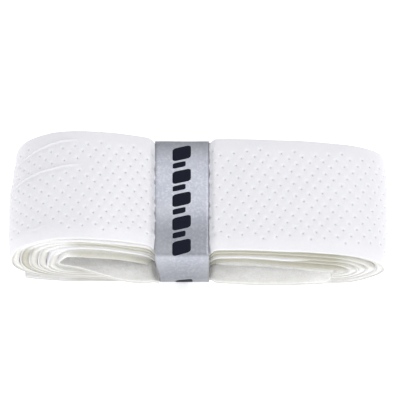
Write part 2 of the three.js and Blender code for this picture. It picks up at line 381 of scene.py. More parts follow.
class Tape:
    """Turns (s, y, out) on the tape into a place in space: s along it, y across it, and out from the
    middle of its thickness towards the skin."""

    def __init__(self, path, soft=True, skin_share=0):
        self.path, self.soft, self.skin_share = path, soft, skin_share

    def place(self, s, y, out):
        s, y, out = np.broadcast_arrays(s, y, out)
        x, z, nx, nz, shift, wrap, _ = self.path.at(s)
        if not self.soft:
            return np.stack([x + nx * out, y + shift, z + nz * out], axis=-1)
        upper = smooth(-0.4, 0.4, nz)
        flap = smooth(WRAPS - 0.5, WRAPS, wrap) * (1 - upper)
        front = share_of(0, HALF_WIDTH, -y) ** 2
        across = y + shift + front * self.stood_back(s, x, wrap, upper, flap)
        across = across + STRIP_WANDER * wave(s, 37, 1)
        drop = self.drop(x, y, wrap, upper, flap) + LIP_WANDER * wave(s, 23, np.sign(y))
        out = out - lip(y) * drop + LUMPS * wave(s + 0.7 * y, 17, 4)
        outside = share_of(CORNER_START, HALF_WIDTH, -y)
        cut = END_SLANT * outside - END_ROUND * outside**5
        x = x + flap * cut * smooth(INNER_END - 7, INNER_END, x)
        x, z = soft_roll(x + nx * out, z + nz * out, y, upper)
        return np.stack([x, across, z], axis=-1)

    def stood_back(self, s, x, wrap, upper, flap):
        """How far the front edge stands back from the neat winding's."""
        hidden = by_wrap(SKIN_BACK, wrap, x) + (wrap > 0.5) * near_right_end(x)
        fan = share_of(0, WRAPS - 1, wrap) * smooth(BAND_RIGHT + 4, RIGHT_CENTRE, x)
        top = by_wrap(TOP_BACK, wrap, x) + self.skin_share * hidden - FAN_OUT * fan
        low_fan = raised(x, RIGHT_CENTRE - 14, RIGHT_CENTRE, RIGHT_CENTRE + 4, RIGHT_CENTRE + 12)
        bottom = by_wrap(BOTTOM_BACK, wrap, x) - LOW_FAN_OUT * low_fan
        bottom = bottom + FOOT_BACK * under_band(x, 1, 1) * (1 - flap)
        past_lean = smooth(BAND_LEFT + BAND_LEAN - 0.3, BAND_LEFT + BAND_LEAN, x)
        pressed = FLAP_BACK * under_band(x, 1, 2) * past_lean * flap
        return top * upper + bottom * (1 - upper) + pressed + EDGE_WANDER * wave(s, 61, 2) * (wrap > 0.4)

    @staticmethod
    def drop(x, y, wrap, upper, flap):
        """How far the tape's edges hang below its middle, towards the roll's core on the top runs."""
        top = np.where(y < 0, FRONT_DROP + by_wrap(TOP_HANG, wrap, x), BACK_DROP)
        sag = (
            FLAP_DROP
            + FLAP_SAG[0] * raised(x, LEFT_CENTRE + 2, LEFT_CENTRE + 12, BAND_LEFT - 3, BAND_LEFT)
            - FLAP_RISE * raised(x, FLAP_RISE_START, BAND_LEFT - 3, BAND_LEFT, BAND_LEFT + 2)
            + FLAP_SAG[1] * smooth(BAND_RIGHT, BAND_RIGHT + 14, x)
            + END_SAG * smooth(INNER_END - 8, INNER_END, x)
        )
        return top * upper + (1 - upper) * (LOW_CURL * (1 - flap) - sag * flap * (y < 0))


roll_path = WoundPath(
    WRAPS, WRAP_PITCH, ROLL_BASE,
    ends=(LEFT_CENTRE, RIGHT_CENTRE), reaches=(LEFT_INNER_REACH, RIGHT_INNER_REACH),
    strip_ends=(OUTER_END, INNER_END), step=1.0, spacing=TURN_SPACING, turn_steps=30,
    core=core_opening, rise=outer_end_rise, drift=inner_end_drift,
)
tape = Tape(roll_path)
skin_tape = Tape(roll_path, skin_share=1)


def turn_swell(s, y):
    """How much thicker the felt is beside the adhesive, where it swells to fill the turns. It leaves a
    small gap high on each turn."""
    _, _, nx, _, _, wrap, degrees = roll_path.at(s)
    pared = share_of(SKIVE_START, BACKING_EDGE, np.abs(y))
    gap = 0.5 * pared * np.exp(-(((degrees - GAP_ANGLE) / 14) ** 2))
    room = TURN_SWELL + SKIVE_DEPTH * pared - gap
    return room * nx**2 * smooth(6.5, 10, np.abs(y)) * (wrap < WRAPS - 1)


def swept(strip, stations, section, swell=0):
    """A closed tube of a section along stations, with flat ends: the points, the faces, and each point's
    place along and across the strip and whether it is on the inner face. A section has as many points on
    its outer face as on its inner face, in opposite order."""
    section, half = np.array(section), len(section) // 2
    s = np.repeat(stations, len(section))
    y = np.tile(section[:, 0], len(stations))
    on_inner = np.tile(np.arange(len(section)) >= half, len(stations))
    out = np.tile(section[:, 1], len(stations)) - swell * on_inner * turn_swell(s, y)
    points = strip.place(s, y, out)
    rings = np.arange(len(points)).reshape(len(stations), len(section))
    faces = grid_faces(np.hstack([rings, rings[:, :1]]))
    faces += quads(rings[0, :half - 1:-1], rings[0, :half])
    faces += quads(rings[-1, :half], rings[-1, :half - 1:-1])
    return points, faces, (s, y, on_inner)


def thin_layer(name, node, body, slot, material, strip, stations, columns, outer, thick, rests_on):
    """A thin layer of a wound strip, with points at these columns across it on both its faces."""
    section = [(y, outer) for y in columns] + [(y, outer - thick) for y in columns[::-1]]
    points, faces, _ = swept(strip, stations, section)
    piece = add_piece(name, points, faces, material, body)
    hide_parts(node)
    return piece


# ---- Materials ----


class Nodes:
    """A material's or a world's node tree, with short ways to add nodes and link them."""

    def __init__(self, name, owners=bpy.data.materials, shader="Principled BSDF"):
        self.owner = owners.new(name)
        self.owner.use_nodes = True
        self.tree = self.owner.node_tree
        self.shader = self.tree.nodes[shader]

    def add(self, kind, settings=None, **inputs):
        node = self.tree.nodes.new(kind)
        for key, value in (settings or {}).items():
            setattr(node, key, value)
        for key, value in inputs.items():
            self.put(node.inputs[key.replace("_", " ")], value)
        return node

    def put(self, socket, value):
        if isinstance(value, bpy.types.NodeSocket):
            self.tree.links.new(value, socket)
        else:
            socket.default_value = value

    def math(self, operation, first, second):
        node = self.add("ShaderNodeMath", {"operation": operation})
        self.put(node.inputs[0], first)
        self.put(node.inputs[1], second)
        return node.outputs[0]

    def total(self, base, *parts):
        """A number, plus parts that are each a value and its share."""
        for value, share in parts:
            base = self.math("ADD", base, self.math("MULTIPLY", value, share))
        return base

    def mix(self, factor, first, second, blend="MIX"):
        settings = {"data_type": "RGBA", "blend_type": blend}
        return self.add("ShaderNodeMix", settings, Factor=factor, A=first, B=second).outputs["Result"]

    def ramp(self, value, low, high, start=0.0, end=1.0):
        settings = {"interpolation_type": "SMOOTHSTEP"}
        numbers = {"From_Min": low, "From_Max": high, "To_Min": start, "To_Max": end}
        return self.add("ShaderNodeMapRange", settings, Value=value, **numbers).outputs["Result"]

    def place(self, kind="Object"):
        return self.add("ShaderNodeTexCoord").outputs[kind]

    def noise(self, vector, per_metre, detail=3.0, roughness=0.55):
        numbers = {"Scale": per_metre, "Detail": detail, "Roughness": roughness}
        return self.add("ShaderNodeTexNoise", Vector=vector, **numbers).outputs["Fac"]

    def cells(self, vector, per_metre, feature="F1"):
        node = self.add("ShaderNodeTexVoronoi", {"feature": feature}, Vector=vector, Scale=per_metre)
        return node.outputs["Distance"]

    def stretched(self, vector, scale):
        return self.add("ShaderNodeMapping", Vector=vector, Scale=scale).outputs["Vector"]

    def attribute(self, name):
        return self.add("ShaderNodeAttribute", {"attribute_name": name}).outputs["Fac"]

    def bump(self, height, distance, strength):
        node = self.add("ShaderNodeBump", Height=height, Distance=distance, Strength=strength)
        self.put(self.shader.inputs["Normal"], node.outputs["Normal"])

    def surface(self, **inputs):
        for key, value in inputs.items():
            self.put(self.shader.inputs[key.replace("_", " ")], value)


def skin_material():
    """White polyurethane: a satin skin with a fine leather grain, painted shade in its pin holes with a
    painted highlight round each, and painted gap shade on its inner face and cut edges.
    """
    m = Nodes("white_skin")
    here = m.place()
    clouds = m.noise(here, 90, 2)
    grain = m.cells(here, 2600)
    fine = m.noise(here, 5200, 2)
    clean = m.mix(clouds, (0.74, 0.735, 0.765, 1), (0.79, 0.785, 0.81, 1))
    hollow = m.mix(m.ramp(grain, 0.0, 0.5), (0.7, 0.695, 0.72, 1), clean)
    grained = m.mix(0.35, clean, hollow)
    # Painted shade inside the pin holes, and a painted highlight on a ring round each.
    painted_pit_shade = m.ramp(m.attribute("painted_pit_shade"), 0.45, 1.0)
    painted_rim_highlight = m.mix(m.math("MULTIPLY", m.attribute("painted_rim_highlight"), 0.35), grained, (0.84, 0.84, 0.845, 1))
    # Painted shade: the skin's inner face and cut edges are made beige, like the shaded gaps between the
    # wraps.
    cut = m.mix(m.attribute("cut"), painted_rim_highlight, (0.71, 0.7, 0.655, 1))
    m.surface(Base_Color=m.mix(painted_pit_shade, cut, (0.6, 0.595, 0.61, 1)), Roughness=m.total(0.36, (clouds, 0.2)))
    m.surface(Coat_Weight=0.08, Coat_Roughness=0.3, Specular_IOR_Level=0.45)
    m.surface(Subsurface_Weight=0.12, Subsurface_Radius=(0.0012, 0.001, 0.0009), Subsurface_Scale=0.6)
    m.bump(m.total(0.0, (grain, 0.5), (fine, 0.35)), 0.00009, 0.6)
    return m.owner


def felt_material():
    """Non-woven felt: matt, fuzzy, with an embossed cell pattern and straw-coloured thin places, their
    colour mixed with painted shade of the gaps between the wraps.
    """
    m = Nodes("felt_backing")
    here = m.place()
    clumps = m.noise(here, 520, 4, 0.65)
    fibres = m.noise(m.stretched(here, (1, 2.4, 1)), 2600, 5, 0.7)
    emboss = m.cells(here, 620, "SMOOTH_F1")
    tone = m.mix(m.ramp(clumps, 0.3, 0.72), (0.76, 0.75, 0.72, 1), (0.87, 0.865, 0.85, 1))
    lit = m.mix(m.ramp(fibres, 0.35, 0.7), tone, (0.92, 0.915, 0.905, 1))
    # Painted shade: the cut edges take a dark straw colour where they lie in the gaps between the wraps, on
    # top of the felt's own slight straw tint.
    shaded_edge = m.mix(m.attribute("cut"), lit, (0.5, 0.488, 0.4, 1))
    m.surface(Base_Color=shaded_edge, Roughness=0.95, Specular_IOR_Level=0.15)
    m.surface(Sheen_Weight=0.35, Sheen_Roughness=0.6)
    m.surface(Subsurface_Weight=0.2, Subsurface_Radius=(0.003, 0.003, 0.0028), Subsurface_Scale=1.0)
    m.bump(m.total(0.0, (emboss, 0.7), (fibres, 0.6)), 0.00035, 0.9)
    return m.owner


# Painted highlight and shade across the band: its silver is lighter over the middle of the top and darker
# at the top's front part, its back edge and down the front wall. Each pair is a place across the tape and
# the silver's level there.
PAINTED_BAND_LIGHT = (
    (-19, 0.33), (-17, 0.49), (-15.5, 0.72), (-9, 0.47), (-4, 0.9), (3, 0.94), (10, 0.86), (15.5, 0.28),
)
PAINTED_LIGHT_START = 20
PAINTED_LIGHT_LENGTH = 36


def band_material():
    """Silver metallised film: satin, faintly brushed, with a crinkled, mottled sheen, and painted highlight
    and shade across it.
    """
    m = Nodes("silver_band")
    here = m.place()
    streaks = m.noise(m.stretched(here, (9, 0.6, 9)), 420, 3)
    mottle = m.noise(here, 1500, 4, 0.7)
    clouds = m.noise(here, 130, 2)
    tint = m.mix(m.ramp(clouds, 0.3, 0.7), (0.64, 0.67, 0.76, 1), (0.74, 0.765, 0.84, 1))
    sparkle = m.mix(m.ramp(mottle, 0.42, 0.7), tint, (0.86, 0.875, 0.93, 1))
    across_tape = m.add("ShaderNodeSeparateXYZ", Vector=here).outputs["Y"]
    place = m.math("DIVIDE", m.math("ADD", across_tape, PAINTED_LIGHT_START * MM), PAINTED_LIGHT_LENGTH * MM)
    painted_light = m.add("ShaderNodeValToRGB", Fac=place)
    painted_light.color_ramp.interpolation = "B_SPLINE"
    stops = painted_light.color_ramp.elements
    while len(stops) < len(PAINTED_BAND_LIGHT):
        stops.new(0.5)
    for stop, (y, level) in zip(stops, PAINTED_BAND_LIGHT):
        stop.position = (y + PAINTED_LIGHT_START) / PAINTED_LIGHT_LENGTH
        stop.color = (level, level, level, 1)
    # Painted highlight and shade: the silver is multiplied by the painted light level across the band.
    printed = m.mix(1, sparkle, painted_light.outputs["Color"], "MULTIPLY")
    m.surface(Base_Color=printed, Metallic=0.82, Roughness=m.total(0.3, (streaks, 0.12), (mottle, 0.1)))
    m.bump(m.total(0.0, (mottle, 0.6), (streaks, 0.4)), 0.00004, 0.7)
    return m.owner


def ink_material():
    """Dark printed ink, with a slightly uneven film."""
    m = Nodes("printed_ink")
    speckle = m.noise(m.place(), 2600, 3)
    m.surface(Base_Color=m.mix(speckle, (0.003, 0.004, 0.011, 1), (0.009, 0.011, 0.024, 1)))
    m.surface(Roughness=m.total(0.42, (speckle, 0.25)), Specular_IOR_Level=0.12)
    m.bump(speckle, 0.00001, 0.5)
    return m.owner


def coating_material(name, dark, light, roughness, per_metre):
    """A thin coating or film with soft streaks and a slightly uneven surface."""
    m = Nodes(name)
    here = m.place()
    streaks = m.noise(m.stretched(here, (0.4, 3, 0.4)), per_metre, 3)
    m.surface(Base_Color=m.mix(m.ramp(streaks, 0.3, 0.7), dark, light))
    m.surface(Roughness=m.total(roughness, (streaks, 0.15)))
    m.bump(streaks, 0.00003, 0.6)
    return m.owner


def floor_material():
    """A plain pale studio floor."""
    m = Nodes("pale_floor")
    m.surface(Base_Color=(0.93, 0.93, 0.93, 1), Roughness=0.9, Specular_IOR_Level=0.1)
    m.surface(Emission_Color=(1, 1, 1, 1), Emission_Strength=0.42)
    return m.owner


# ---- The wound tape ----

SKIN_OUTER = HALF_PITCH
SKIN_INNER = SKIN_OUTER - SKIN_THICK
EDGE_ROUND = 0.13  # the skin's edges are rounded by this much
EDGE_THIN = 0.14  # and thinner than the rest
# Rings of points round a pin hole: each ring's radius, its depth and how many points it has.
PIT_RINGS = ((0.1, 0.33, 8), (0.17, 0.25, 8), (0.3, 0.13, 10), (0.58, 0.07, 10), (1.0, 0.0, 8))
HIGHLIGHT_RING = 3  # this ring carries the hole's painted highlight
PIT_DEPTH = 0.35
HOLE_MARGIN = 1.6  # from the strip's ends
PUFF = 0.045  # how far the skin swells up between the holes
FINE_SKIN_PAST_TURN = 14  # the skin with pin holes ends this far past the left turn
SKIN_JOINT = 0.02  # the hair's breadth between it and the rest
RIM_GAP_SHADE = 0.15  # how much of the painted gap shade the skin's outermost edges have
# Rows across the tape at which the skin has points, besides those of its holes and creases.
HALF_ROWS = (3.0, 6.0, 9.0, 11.2, 12.6, 13.4, 14.1, 14.6, HALF_WIDTH - EDGE_ROUND)
SKIN_ROWS = np.array([*[-y for y in reversed(HALF_ROWS)], 0.0, *HALF_ROWS])


def hole_places(length):
    """The pin holes' places along and across the tape: a square grid, turned."""
    reach = int((length + 2 * HALF_WIDTH) / HOLE_PITCH) + 1
    i, j = np.meshgrid(np.arange(-reach, reach), np.arange(-reach, reach))
    s = HOLE_PITCH * (i * HOLE_COS - j * HOLE_SIN)
    y = HOLE_PITCH * (i * HOLE_SIN + j * HOLE_COS)
    inside = (s > HOLE_MARGIN) & (s < length - HOLE_MARGIN) & (np.abs(y) < PERFORATED_HALF_WIDTH)
    return np.stack([s[inside], y[inside]], axis=1)


def left_turn_place(degrees):
    """How far along the tape a place on the outermost left turn is. 0 degrees is its top."""
    x, wrap, angle = roll_path.rows[:, 0], roll_path.rows[:, 5], roll_path.rows[:, 6]
    on_turn = (wrap > 0) & (wrap < 1) & (x < LEFT_CENTRE)
    angles, places = angle[on_turn], roll_path.s[on_turn]
    per_degree = np.diff(places)[0] / np.diff(angles)[0]
    top = places[0] - angles[0] * per_degree
    return np.interp(degrees, [-60, 0, *angles], [top - 60 * per_degree, top, *places])


# Creases that the skin has from being bent round the left end: pairs of an angle in degrees on the
# outermost left turn and a place across the tape, then the crease's height.
CREASES = (
    (((-12, 12.6), (10, 12.2), (22, 11.7), (36, 11.0), (53, 9.7), (71, 8.8), (100, 8.0)), 0.3),
    (((-14, 5.9), (6, 5.4), (19, 4.8), (31, 4.5), (41, 4.0), (58, 3.0), (80, 2.1), (104, 1.7)), 0.3),
    (((18, -10.6), (29, -10.9), (33, -11.4), (52, -11.3)), 0.14),
    (((96, 6.0), (112, 5.2), (130, 4.9)), 0.16),
)
CREASE_HALF_WIDTH = 0.24
CREASE_ROWS = (-3.6, -2.2, -1.2, -0.6, 0, 0.6, 1.2, 2.2)  # rows of points beside a crease, in half widths


def crease_lines():
    """Each crease as (s along it, y along it, height), with dense points."""
    lines = []
    for pairs, height in CREASES:
        corner_s = left_turn_place([p[0] for p in pairs])
        s = np.arange(corner_s[0], corner_s[-1], 0.45)
        lines.append((s, np.interp(s, corner_s, [p[1] for p in pairs]), height))
    return lines


def creased(s, y, lines):
    """How far creases lift the skin at these places, a ridge with a shallow groove in front of it, and how
    much of a pin hole shows there: 0 on a ridge, rising to 1 beside it."""
    lift, clear = np.zeros_like(s), np.ones_like(s)
    for line_s, line_y, height in lines:
        start, end = line_s[[0, -1]]
        offset = y - np.interp(s, line_s, line_y)
        ridge = np.exp(-((offset / CREASE_HALF_WIDTH) ** 2))
        groove = np.exp(-(((offset / CREASE_HALF_WIDTH + 2.2) / 1.6) ** 2))
        lift += height * raised(s, start, start + 5, end - 6, end) * (ridge - 0.55 * groove)
        beyond = np.maximum(start - s, s - end)
        clear *= smooth(0.5, 0.9, np.maximum(np.abs(offset), beyond))
    return lift, clear


def spots(places, out=0.0, painted_pit_shade=0.0, painted_rim_highlight=0.0):
    """Points on the skin's outer face, as rows of (s, y, out, painted shade in the hole, painted highlight
    round it).
    """
    return np.column_stack([places, np.tile([out, painted_pit_shade, painted_rim_highlight], (len(places), 1))])


def perforated_face(length, stations):
    """The skin's outer face with its pin holes: (s, y, out, painted shade, painted highlight) of each
    point, and triangles.
    """
    holes = hole_places(length)
    points = []
    for number, (radius, depth, count) in enumerate(PIT_RINGS):
        angle = 2 * math.pi * (np.arange(count) + radius) / count
        ring = np.stack([np.cos(angle), np.sin(angle)], axis=1) * radius
        places = (holes[:, None, :] + ring[None]).reshape(-1, 2)
        # Each ring's depth also sets how much painted shade it has, and the highlight ring carries the
        # painted highlight.
        points.append(spots(places, -depth, min(1.0, depth / PIT_DEPTH), number == HIGHLIGHT_RING))
    points.append(spots(holes, -PIT_DEPTH, 1.0))
    # Half a step from the holes, the skin is puffed up.
    puffs = holes + HOLE_PITCH / 2 * np.array([HOLE_COS - HOLE_SIN, HOLE_SIN + HOLE_COS])
    inside = (np.abs(puffs[:, 1]) < PERFORATED_HALF_WIDTH) & (puffs[:, 0] < length - HOLE_MARGIN)
    points.append(spots(puffs[inside], PUFF))
    margin_rows = SKIN_ROWS[np.abs(SKIN_ROWS) > PERFORATED_HALF_WIDTH + 0.3]
    margin = [(s, y) for y in margin_rows for s in stations]
    ends = [(s, y) for s in (stations[0], stations[-1]) for y in SKIN_ROWS]
    lines = crease_lines()
    beside = [np.column_stack([s, y + k * CREASE_HALF_WIDTH]) for s, y, _ in lines for k in CREASE_ROWS]
    flat = np.concatenate([margin, ends, *beside])
    points.append(spots(flat[np.abs(flat[:, 1]) <= SKIN_ROWS[-1] + 1e-9]))
    points = np.concatenate(points)
    _, first = np.unique(np.round(points[:, :2], 3), axis=0, return_index=True)
    points = points[np.sort(first)]
    lift, clear = creased(points[:, 0], points[:, 1], lines)
    points[:, 2:] *= clear[:, None]
    points[:, 2] += lift
    flat_points = [Vector((s, y)) for s, y in points[:, :2]]
    result = geometry.delaunay_2d_cdt(flat_points, [], [], 0, 1e-7)
    return points, [tuple(face) for face in result[2]]


def skin_pieces(material):
    """The outermost wrap with its pin holes, as one closed skin, and the wraps inside it as another."""
    split = left_turn_place(180) + FINE_SKIN_PAST_TURN
    stations = np.append(np.arange(0, split - 0.5, 1.0), split)
    face_points, triangles = perforated_face(split, stations)
    near_rim = [(-HALF_WIDTH, SKIN_OUTER - EDGE_ROUND), (-HALF_WIDTH, SKIN_INNER + EDGE_THIN)]
    far_rim = [(-y, out) for y, out in near_rim]
    inner_rows = [(y, SKIN_INNER + (EDGE_THIN if abs(y) > 14 else 0)) for y in SKIN_ROWS]
    back_rows = near_rim + inner_rows + far_rim[::-1]
    outer = skin_tape.place(face_points[:, 0], face_points[:, 1], SKIN_OUTER + face_points[:, 2])
    points = np.concatenate([outer, *[skin_tape.place(stations, y, out) for y, out in back_rows]])
    back = len(outer) + np.arange(len(points) - len(outer)).reshape(len(back_rows), -1)
    lookup = {(round(s, 3), round(y, 3)): i for i, (s, y) in enumerate(face_points[:, :2])}

    def on_face(s, y):
        return lookup[round(s, 3), round(y, 3)]

    corners = face_points[np.array(triangles), :2]
    first, second = corners[:, 1] - corners[:, 0], corners[:, 2] - corners[:, 0]
    turns_left = first[:, 0] * second[:, 1] - second[:, 0] * first[:, 1] > 0
    faces = [face[::-1] if left else face for face, left in zip(triangles, turns_left)]
    faces += grid_faces(back)
    near, far = [[on_face(s, y) for s in stations] for y in SKIN_ROWS[[0, -1]]]
    faces += quads(near, back[0]) + quads(back[-1], far)
    for end in (0, -1):
        end_row = [back[0, end], *[on_face(stations[end], y) for y in SKIN_ROWS], back[-1, end]]
        faces += quads(back[1:-1, end], end_row) if end else quads(end_row, back[1:-1, end])
    looks = np.zeros((len(points), 3))
    looks[:len(outer), :2] = face_points[:, 3:]
    # The inner face and edges take the painted gap shade, and the outermost edges take only a little of it.
    looks[len(outer):, 2] = 1.0
    looks[back[[0, -1]], 2] = RIM_GAP_SHADE
    outer_wrap = add_piece(
        "grip_skin_outer_wrap", points, faces, material, "roll",
        dict(zip(("painted_pit_shade", "painted_rim_highlight", "cut"), looks.T)),
    )

    stations = np.append(split + SKIN_JOINT, roll_path.s[roll_path.s > split])
    outer_rows = [near_rim[0], *[(y, SKIN_OUTER) for y in SKIN_ROWS], far_rim[0]]
    inner_rows = [near_rim[1], *inner_rows, far_rim[1]]
    points, faces, (_, _, on_inner) = swept(skin_tape, stations, outer_rows + inner_rows[::-1])
    none = np.zeros(len(points))
    # The skin's inner face takes the painted gap shade.
    inner_wraps = add_piece(
        "grip_skin_inner_wraps", points, faces, material, "roll",
        {"painted_pit_shade": none, "painted_rim_highlight": none, "cut": on_inner},
    )
    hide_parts("grip_skin")


BACKING_OUTER = SKIN_INNER - LAYER_GAP
BACKING_INNER = BACKING_OUTER - BACKING_THICK


def backing_section(columns):
    """The felt's section: full under the middle of the skin, and pared down towards its edges."""
    outer, inner = [], []
    for y in columns:
        pared = share_of(SKIVE_START, BACKING_EDGE, abs(y))
        outer.append((y, BACKING_OUTER + (EDGE_THIN - 0.01 if abs(y) > 14.2 else 0)))
        inner.append((y, BACKING_INNER + SKIVE_DEPTH * pared))
    return outer + inner[::-1]


# How straw-coloured the wraps' felt is at its front edge, its own colour mixed with painted shade of the
# gaps between the wraps,
# for the outermost wrap first: on the top runs at the left and the right of the band, and on the left
# turns.
TOP_STRAW_AND_SHADE = ((0.6, 0.3, 0.8, 0.8, 0.75, 0.75, 0.0), (1.0, 1.0, 1.0, 1.0, 1.0, 0.15, 0.0))
CRESCENT_STRAW_AND_SHADE = (0.3, 1.0, 0.5, 0.4, 0.3, 0.15)
RIGHT_STRAW_AND_SHADE = 0.8  # near the right turns
BOTTOM_STRAW_AND_SHADE = 0.7  # on the bottom runs
INNER_END_LESS_SHADE = 0.85  # the inner end loses this share of its straw colour and painted shade
FINE_FELT_STEP = 0.3
FUZZ = 0.085  # how far the felt's fibres stand up where it shows


def edge_straw_and_shade(s, y):
    """How straw-coloured the felt's cut edge is, its own colour mixed with painted shade of the gaps
    between the wraps: most on the straight runs, and hardly on the inner end.
    """
    x, _, _, nz, _, wrap, degrees = roll_path.at(s)
    upper = smooth(-0.2, 0.45, nz)
    inside = smooth(LEFT_CENTRE - 3, LEFT_CENTRE + 3, x)
    end_shade = RIGHT_STRAW_AND_SHADE * near_right_end(x) * (wrap < WRAPS - 1.5)
    turning = 1 - 0.5 * smooth(RIGHT_CENTRE, RIGHT_CENTRE + 6, x)
    top = np.maximum(by_wrap(TOP_STRAW_AND_SHADE, wrap, x), end_shade) * upper * inside * turning
    bottom = BOTTOM_STRAW_AND_SHADE * (1 - upper) * inside * smooth(RIGHT_CENTRE, RIGHT_CENTRE - 10, x)
    crescents = np.array(CRESCENT_STRAW_AND_SHADE)[np.clip(np.ceil(wrap) - 1, 0, WRAPS - 1).astype(int)]
    crescent_end = smooth(LEFT_CENTRE + 6, LEFT_CENTRE + 1, x)
    turned = crescents * smooth(45, 75, degrees) * crescent_end * (wrap > 0)
    along = np.maximum(np.maximum(top, bottom), turned)
    along = along * (1 - INNER_END_LESS_SHADE * smooth(WRAPS - 0.5, WRAPS, wrap))
    return smooth(BACKING_EDGE - 2, BACKING_EDGE - 0.6, np.abs(y)) * along


def felt_pieces(material):
    """The felt inside the wraps, and its last stretch, which shows at the front, in finer detail."""
    fine_start = roll_path.length - (INNER_END - LEFT_CENTRE) - 45
    shared = [-6, 0, 6, SKIVE_START, 12.8, 14, BACKING_EDGE]
    plain = [-BACKING_EDGE, -14, -12.8, -SKIVE_START, *shared]
    fine = [*np.linspace(-BACKING_EDGE, -7.5, 27), *shared]
    stretches = (
        ("grip_backing_wound", plain, roll_path.s[roll_path.s < fine_start], 0),
        ("grip_backing_inner_end", fine, np.arange(fine_start, roll_path.length, FINE_FELT_STEP), FUZZ),
    )
    rng = np.random.default_rng(GRAIN_SEED)
    for name, columns, stations, fuzz in stretches:
        points, faces, (s, y, on_inner) = swept(tape, stations, backing_section(columns), swell=1)
        lumps = 0.5 * wave(s * 1.3 + y, 2.7, 3) * wave(y - 0.4 * s, 1.9, 8)
        lumps = lumps + 0.35 * wave(s - 1.7 * y, 1.3, 5) + rng.uniform(-0.6, 0.6, len(s))
        points[:, 2] += fuzz * lumps * on_inner * smooth(FILM_WIDTH / 2, FILM_WIDTH / 2 + 1.5, np.abs(y))
        # The cut edges' straw colour is partly painted shade of the gaps between the wraps.
        looks = {"cut": edge_straw_and_shade(s, y)}
        piece = add_piece(name, points, faces, material, "roll", looks)
        if not fuzz:
            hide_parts("grip_backing")


def adhesive_and_film(adhesive, film):
    """The narrow layers down the middle of the felt."""
    layers = (
        ("adhesive_strip", "adhesive", adhesive, ADHESIVE_WIDTH, LAYER_GAP, ADHESIVE_THICK),
        ("release_film", "release_film", film, FILM_WIDTH, LAYER_GAP / 2, FILM_THICK),
    )
    outer = BACKING_INNER
    for node, slot, material, width, gap, thick in layers:
        columns = np.linspace(-width / 2, width / 2, 5)
        looks = ("grip_" + node, node, "roll", slot, material)
        thin_layer(*looks, tape, roll_path.s[::2], columns, outer - gap, thick, ["grip_backing"])
        outer -= gap + thick


# ---- The belly band ----

BAND_TOP = ROLL_TOP * WAIST + 0.2
BAND_SIDE = band_high[1] - BAND_THICK
BAND_FRONT = -band_low[1] - BAND_THICK - 1.15
LIP_LOW = (ROLL_BASE + WRAP_PITCH * WRAPS) * WAIST
LIP_HIGH = LIP_LOW + WRAP_PITCH + 0.5
BAND_BOTTOM = BAND_THICK + 0.01
LAP_START = 9
LAP = 6
LAP_LIFT = BAND_THICK + 0.09
GLUE_THICK = 0.04
CRINKLE = (0.035, 0.02)  # the band's long and short creases


def band_outline():
    """The band's inner face, seen along the roll: rows of (y, z, normal y, normal z) from its inner end
    on the back wall, over the top, down the front, below the roll and up the back wall again."""
    corners = [
        (BAND_SIDE, BAND_TOP, 0.8),
        (-BAND_SIDE, BAND_TOP, 1.0),
        (-BAND_FRONT, LIP_HIGH, 0.7),
        (-BAND_FRONT, LIP_LOW, 0.9),
        (-BAND_SIDE + 0.6, BAND_BOTTOM, 1.4),
        (BAND_SIDE, BAND_BOTTOM, 0.8),
    ]
    rows = [(BAND_SIDE, LAP_START, 1, 0)]
    for i, (_, _, radius) in enumerate(corners):
        here, before, after = [np.array(corners[(i + k) % len(corners)][:2]) for k in (0, -1, 1)]
        arriving = (here - before) / np.linalg.norm(here - before)
        leaving = (after - here) / np.linalg.norm(after - here)
        bend = math.acos(np.clip(arriving @ leaving, -1, 1))
        normal = np.array([arriving[1], -arriving[0]])
        centre = here - arriving * radius * math.tan(bend / 2) - normal * radius
        for angle in np.linspace(0, bend, 9):
            away = normal * math.cos(angle) + arriving * math.sin(angle)
            rows.append((*(centre + away * radius), *away))
    rows.append((BAND_SIDE, LAP_START / 3, 1, 0))
    rows.append((BAND_SIDE + LAP_LIFT, LAP_START - 1, 1, 0))
    rows.append((BAND_SIDE + LAP_LIFT, LAP_START + LAP, 1, 0))
    return np.array(rows)


class Band:
    """Turns (p, x, out) on the band into a place: p along it from its inner end, x along the roll."""

    def __init__(self):
        rows = band_outline()
        p = distances_along(rows)
        self.length = p[-1]
        fine = np.linspace(0, self.length, 420)
        self.p = np.unique(np.concatenate([fine, p]))
        self.columns = [np.interp(self.p, p, column) for column in rows.T]

    def place(self, p, x, out):
        p, x, out = np.broadcast_arrays(p, x, out)
        y, z, ny, nz = [np.interp(p, self.p, column) for column in self.columns]
        crinkle = CRINKLE[0] * wave(p + 0.6 * x, 9, 2) + CRINKLE[1] * wave(x - 0.3 * p, 5, 6)
        out = out + crinkle * smooth(1, 4, z)
        crown = smooth(LIP_HIGH, BAND_TOP, z) * band_crown(y)
        # The left edge leans in towards the foot of the front wall.
        foot = smooth(-BAND_TOP, -LIP_LOW, -z) * smooth(BAND_SIDE - 6, BAND_SIDE - 1, -y)
        share = (BAND_RIGHT - x) / (BAND_RIGHT - BAND_LEFT)
        x = x + BAND_LEAN * foot * share
        return np.stack([x, y + ny * out, z + nz * out - crown], axis=-1)

    def top_place(self, y):
        """How far along the band a place on its top face is."""
        on_top = self.columns[3] > 0.99
        return np.interp(-y, -self.columns[0][on_top], self.p[on_top])


def band_piece(band, material):
    """The band itself, its outer face first."""
    columns = np.linspace(BAND_LEFT, BAND_RIGHT, 20)
    sides = [band.place(band.p[:, None], columns, out) for out in (BAND_THICK, 0.0)]
    points = np.concatenate([side.reshape(-1, 3) for side in sides])
    faces = plate_faces(len(band.p), len(columns))
    piece = add_piece("belly_band_sleeve", points, faces, material, "band")
    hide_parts("belly_band")


